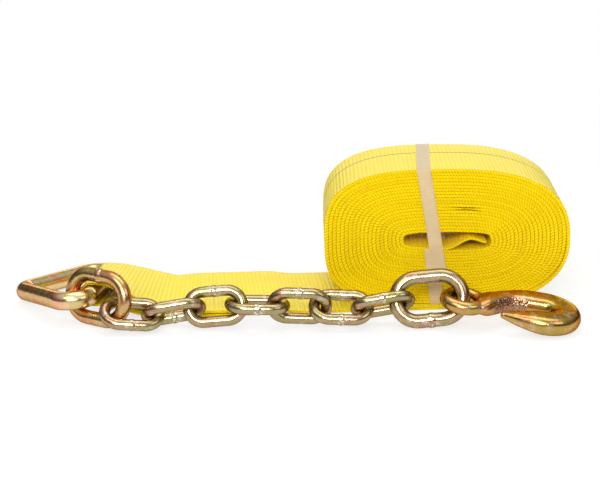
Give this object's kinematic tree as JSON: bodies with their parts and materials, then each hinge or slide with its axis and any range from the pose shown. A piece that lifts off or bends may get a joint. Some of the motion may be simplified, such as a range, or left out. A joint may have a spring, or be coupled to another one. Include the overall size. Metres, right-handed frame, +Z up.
{
  "type": "winch strap with chain tail",
  "caption": "Flat-rolled yellow cargo winch strap held by a strapping band, its sewn eye on a delta ring, with a short welded chain ending in an eye slip hook.",
  "frame": {"origin": "on the floor under the middle of the roll, at half the webbing's width", "axes": "+X along the laid strap from the ring towards the hook, +Y from the chain side towards the roll's far face, +Z up"},
  "size_m": [0.4872, 0.1988, 0.1238],
  "materials": {
    "webbing": "woven ribbed polyester",
    "band": "thin translucent strapping",
    "zinc_gold": "yellow zinc plated forged steel",
    "zinc_pale": "yellow zinc plated welded steel wire"
  },
  "bodies": {
    "strap": {"strap_roll": "webbing", "strap_tail": "webbing", "strap_eye": "webbing", "roll_band": "band"},
    "delta_ring": {"delta_ring": "zinc_gold"},
    "coupling_link_left": {"coupling_link_left": "zinc_gold"},
    "chain_link_1": {"chain_link_1": "zinc_pale"},
    "chain_link_2": {"chain_link_2": "zinc_pale"},
    "chain_link_3": {"chain_link_3": "zinc_pale"},
    "chain_link_4": {"chain_link_4": "zinc_pale"},
    "chain_link_5": {"chain_link_5": "zinc_pale"},
    "chain_link_6": {"chain_link_6": "zinc_pale"},
    "chain_link_7": {"chain_link_7": "zinc_pale"},
    "coupling_link_right": {"coupling_link_right": "zinc_pale"},
    "slip_hook": {"slip_hook": "zinc_gold"}
  },
  "joints": [
    {"name": "delta_ring_swing", "type": "hinge", "parent": "strap", "child": "delta_ring", "pos_m": [-0.3035, -0.04, 0.0166], "axis": [-0.0699, -0.993, 0.0954], "range_deg": [0, 40]},
    {"name": "coupling_link_left_swing", "type": "hinge", "parent": "delta_ring", "child": "coupling_link_left", "pos_m": [-0.30885, -0.09743, 0.022], "axis": [-0.4833, -0.8743, 0.046], "range_deg": [0, 30]},
    {"name": "chain_link_1_swing", "type": "hinge", "parent": "coupling_link_left", "child": "chain_link_1", "pos_m": [-0.28087, -0.11867, 0.01087], "axis": [-0.6811, 0.3192, -0.659], "range_deg": [0, 30]},
    {"name": "chain_link_2_swing", "type": "hinge", "parent": "chain_link_1", "child": "chain_link_2", "pos_m": [-0.2438, -0.11598, 0.01384], "axis": [0.1786, -0.64, -0.7474], "range_deg": [0, 35]},
    {"name": "chain_link_3_swing", "type": "hinge", "parent": "chain_link_2", "child": "chain_link_3", "pos_m": [-0.20881, -0.11304, 0.01846], "axis": [-0.0559, -0.9444, 0.3241], "range_deg": [0, 14]},
    {"name": "chain_link_4_swing", "type": "hinge", "parent": "chain_link_3", "child": "chain_link_4", "pos_m": [-0.1735, -0.11338, 0.02088], "axis": [-0.0349, -0.0018, -0.9994], "range_deg": [0, 35]},
    {"name": "chain_link_5_swing", "type": "hinge", "parent": "chain_link_4", "child": "chain_link_5", "pos_m": [-0.13806, -0.11172, 0.01957], "axis": [0.0123, -0.9563, -0.2921], "range_deg": [0, 35]},
    {"name": "chain_link_6_swing", "type": "hinge", "parent": "chain_link_5", "child": "chain_link_6", "pos_m": [-0.10261, -0.11092, 0.01809], "axis": [-0.0331, 0.6015, -0.7981], "range_deg": [0, 30]},
    {"name": "chain_link_7_swing", "type": "hinge", "parent": "chain_link_6", "child": "chain_link_7", "pos_m": [-0.06729, -0.11016, 0.01828], "axis": [0.1635, -0.6462, -0.7454], "range_deg": [0, 35]},
    {"name": "coupling_link_right_swing", "type": "hinge", "parent": "chain_link_7", "child": "coupling_link_right", "pos_m": [-0.02776, -0.10806, 0.02378], "axis": [-0.0147, -0.9459, 0.3241], "range_deg": [0, 30]},
    {"name": "slip_hook_swing", "type": "hinge", "parent": "coupling_link_right", "child": "slip_hook", "pos_m": [0.01137, -0.10933, 0.02285], "axis": [-0.1279, 0.1248, -0.9839], "range_deg": [-12, 90]}
  ]
}
